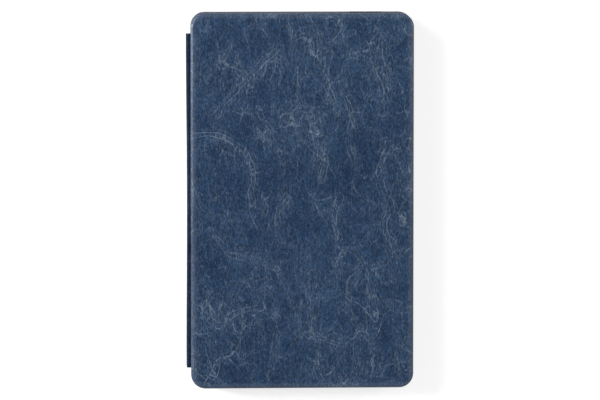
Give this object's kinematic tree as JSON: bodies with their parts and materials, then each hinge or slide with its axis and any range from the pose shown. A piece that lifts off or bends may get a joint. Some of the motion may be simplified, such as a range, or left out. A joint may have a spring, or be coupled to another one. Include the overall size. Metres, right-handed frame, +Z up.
{
  "type": "tablet keyboard case",
  "caption": "Slim folding leather case for a small tablet, with a moulded tray, a fold-out prop stand and a wireless keyboard inside its front cover.",
  "frame": {"origin": "middle of the closed case's footprint, at its base", "axes": "+X away from the spine across the width, +Y along the long edges and the spine, +Z up through the closed front cover"},
  "size_m": [0.1298, 0.2156, 0.0215],
  "materials": {
    "navy_leather": "satin",
    "board": "matte",
    "lining_cloth": "matte",
    "pad_cloth": "matte",
    "hinge_cloth": "matte",
    "tray_plastic": "matte",
    "keyboard_plastic": "matte",
    "keycap_plastic": "matte",
    "rubber": "matte",
    "silicone": "matte",
    "circuit_film": "gloss",
    "circuit_board": "satin",
    "battery_wrap": "satin",
    "magnet": "gloss",
    "screw_steel": "satin",
    "socket_steel": "satin",
    "switch_plastic": "gloss",
    "light_lens": "gloss"
  },
  "bodies": {
    "stand_panel": {"stand_panel_skin": "navy_leather", "stand_panel_board": "board", "stand_panel_lining": "lining_cloth", "stand_magnets": "magnet", "stand_hinge_cloth": "hinge_cloth", "prop_hinge_cloth": "hinge_cloth"},
    "prop": {"prop_board": "board", "prop_covering": "lining_cloth", "prop_tip_bead": "rubber"},
    "tray": {"tablet_tray": "tray_plastic", "tray_hinge_cloth": "hinge_cloth", "tray_magnets": "magnet", "tray_pad": "pad_cloth", "spine_anchor_strip": "navy_leather"},
    "spine": {"spine_skin": "navy_leather", "spine_board": "board", "spine_lining": "lining_cloth"},
    "front_cover": {"cover_skin": "navy_leather", "cover_board": "board", "cover_lining": "lining_cloth", "cover_magnets": "magnet", "keyboard_base": "keyboard_plastic", "keyboard_frame": "keyboard_plastic", "frame_screws": "screw_steel", "deck_bumpers": "rubber", "dome_sheet": "silicone", "membrane_circuit": "circuit_film", "backing_plate": "screw_steel", "battery": "battery_wrap", "main_board": "circuit_board", "radio_module": "screw_steel", "charging_socket": "socket_steel", "switch_body": "switch_plastic", "status_lights": "light_lens"},
    "power_switch": {"power_switch_knob": "switch_plastic"},
    "pairing_button": {"pairing_button": "switch_plastic"},
    "function_keys": {"function_keys": "keycap_plastic"},
    "number_keys": {"number_keys": "keycap_plastic"},
    "backspace_key": {"backspace_key": "keycap_plastic"},
    "tab_key": {"tab_key": "keycap_plastic"},
    "upper_letter_keys": {"upper_letter_keys": "keycap_plastic"},
    "caps_key": {"caps_key": "keycap_plastic"},
    "home_letter_keys": {"home_letter_keys": "keycap_plastic"},
    "enter_key": {"enter_key": "keycap_plastic"},
    "left_shift_key": {"left_shift_key": "keycap_plastic"},
    "lower_letter_keys": {"lower_letter_keys": "keycap_plastic"},
    "right_shift_key": {"right_shift_key": "keycap_plastic"},
    "control_key": {"control_key": "keycap_plastic"},
    "fn_key": {"fn_key": "keycap_plastic"},
    "alt_key": {"alt_key": "keycap_plastic"},
    "menu_key": {"menu_key": "keycap_plastic"},
    "space_key": {"space_key": "keycap_plastic"},
    "left_arrow_key": {"left_arrow_key": "keycap_plastic"},
    "up_arrow_key": {"up_arrow_key": "keycap_plastic"},
    "down_arrow_key": {"down_arrow_key": "keycap_plastic"},
    "right_arrow_key": {"right_arrow_key": "keycap_plastic"}
  },
  "joints": [
    {"name": "tray_tilt", "type": "hinge", "parent": "stand_panel", "child": "tray", "pos_m": [-0.061, 0, 0.00325], "axis": [0, 1, 0], "range_deg": [-60, 0]},
    {"name": "prop_fold", "type": "hinge", "parent": "stand_panel", "child": "prop", "pos_m": [-0.001, 0, 0.00325], "axis": [0, 1, 0], "range_deg": [-120, 0]},
    {"name": "spine_fold", "type": "hinge", "parent": "tray", "child": "spine", "pos_m": [-0.0634, 0, 0.0053], "axis": [0, -1, 0], "range_deg": [0, 90]},
    {"name": "cover_fold", "type": "hinge", "parent": "spine", "child": "front_cover", "pos_m": [-0.0629, 0, 0.02035], "axis": [0, -1, 0], "range_deg": [0, 92]},
    {"name": "power_switch_slide", "type": "slide", "parent": "front_cover", "child": "power_switch", "axis": [1, 0, 0], "range_m": [0, 0.002]},
    {"name": "pairing_button_press", "type": "slide", "parent": "front_cover", "child": "pairing_button", "axis": [0, 0, 1], "range_m": [0, 0.0003], "stiffness_N_per_m": 800},
    {"name": "typing_function_keys", "type": "slide", "parent": "front_cover", "child": "function_keys", "axis": [0, 0, 1], "range_m": [0, 0.001], "stiffness_N_per_m": 500, "deforming": ["dome_sheet"]},
    {"name": "typing_number_keys", "type": "slide", "parent": "front_cover", "child": "number_keys", "axis": [0, 0, 1], "range_m": [0, 0.001], "stiffness_N_per_m": 500, "deforming": ["dome_sheet"]},
    {"name": "typing_backspace_key", "type": "slide", "parent": "front_cover", "child": "backspace_key", "axis": [0, 0, 1], "range_m": [0, 0.001], "stiffness_N_per_m": 500, "deforming": ["dome_sheet"]},
    {"name": "typing_tab_key", "type": "slide", "parent": "front_cover", "child": "tab_key", "axis": [0, 0, 1], "range_m": [0, 0.001], "stiffness_N_per_m": 500, "deforming": ["dome_sheet"]},
    {"name": "typing_upper_letter_keys", "type": "slide", "parent": "front_cover", "child": "upper_letter_keys", "axis": [0, 0, 1], "range_m": [0, 0.001], "stiffness_N_per_m": 500, "deforming": ["dome_sheet"]},
    {"name": "typing_caps_key", "type": "slide", "parent": "front_cover", "child": "caps_key", "axis": [0, 0, 1], "range_m": [0, 0.001], "stiffness_N_per_m": 500, "deforming": ["dome_sheet"]},
    {"name": "typing_home_letter_keys", "type": "slide", "parent": "front_cover", "child": "home_letter_keys", "axis": [0, 0, 1], "range_m": [0, 0.001], "stiffness_N_per_m": 500, "deforming": ["dome_sheet"]},
    {"name": "typing_enter_key", "type": "slide", "parent": "front_cover", "child": "enter_key", "axis": [0, 0, 1], "range_m": [0, 0.001], "stiffness_N_per_m": 500, "deforming": ["dome_sheet"]},
    {"name": "typing_left_shift_key", "type": "slide", "parent": "front_cover", "child": "left_shift_key", "axis": [0, 0, 1], "range_m": [0, 0.001], "stiffness_N_per_m": 500, "deforming": ["dome_sheet"]},
    {"name": "typing_lower_letter_keys", "type": "slide", "parent": "front_cover", "child": "lower_letter_keys", "axis": [0, 0, 1], "range_m": [0, 0.001], "stiffness_N_per_m": 500, "deforming": ["dome_sheet"]},
    {"name": "typing_right_shift_key", "type": "slide", "parent": "front_cover", "child": "right_shift_key", "axis": [0, 0, 1], "range_m": [0, 0.001], "stiffness_N_per_m": 500, "deforming": ["dome_sheet"]},
    {"name": "typing_control_key", "type": "slide", "parent": "front_cover", "child": "control_key", "axis": [0, 0, 1], "range_m": [0, 0.001], "stiffness_N_per_m": 500, "deforming": ["dome_sheet"]},
    {"name": "typing_fn_key", "type": "slide", "parent": "front_cover", "child": "fn_key", "axis": [0, 0, 1], "range_m": [0, 0.001], "stiffness_N_per_m": 500, "deforming": ["dome_sheet"]},
    {"name": "typing_alt_key", "type": "slide", "parent": "front_cover", "child": "alt_key", "axis": [0, 0, 1], "range_m": [0, 0.001], "stiffness_N_per_m": 500, "deforming": ["dome_sheet"]},
    {"name": "typing_menu_key", "type": "slide", "parent": "front_cover", "child": "menu_key", "axis": [0, 0, 1], "range_m": [0, 0.001], "stiffness_N_per_m": 500, "deforming": ["dome_sheet"]},
    {"name": "typing_space_key", "type": "slide", "parent": "front_cover", "child": "space_key", "axis": [0, 0, 1], "range_m": [0, 0.001], "stiffness_N_per_m": 500, "deforming": ["dome_sheet"]},
    {"name": "typing_left_arrow_key", "type": "slide", "parent": "front_cover", "child": "left_arrow_key", "axis": [0, 0, 1], "range_m": [0, 0.001], "stiffness_N_per_m": 500, "deforming": ["dome_sheet"]},
    {"name": "typing_up_arrow_key", "type": "slide", "parent": "front_cover", "child": "up_arrow_key", "axis": [0, 0, 1], "range_m": [0, 0.001], "stiffness_N_per_m": 500, "deforming": ["dome_sheet"]},
    {"name": "typing_down_arrow_key", "type": "slide", "parent": "front_cover", "child": "down_arrow_key", "axis": [0, 0, 1], "range_m": [0, 0.001], "stiffness_N_per_m": 500, "deforming": ["dome_sheet"]},
    {"name": "typing_right_arrow_key", "type": "slide", "parent": "front_cover", "child": "right_arrow_key", "axis": [0, 0, 1], "range_m": [0, 0.001], "stiffness_N_per_m": 500, "deforming": ["dome_sheet"]}
  ],
  "couplings": [
    {"joint": "prop_fold", "follows": "tray_tilt", "ratio": 2}
  ]
}
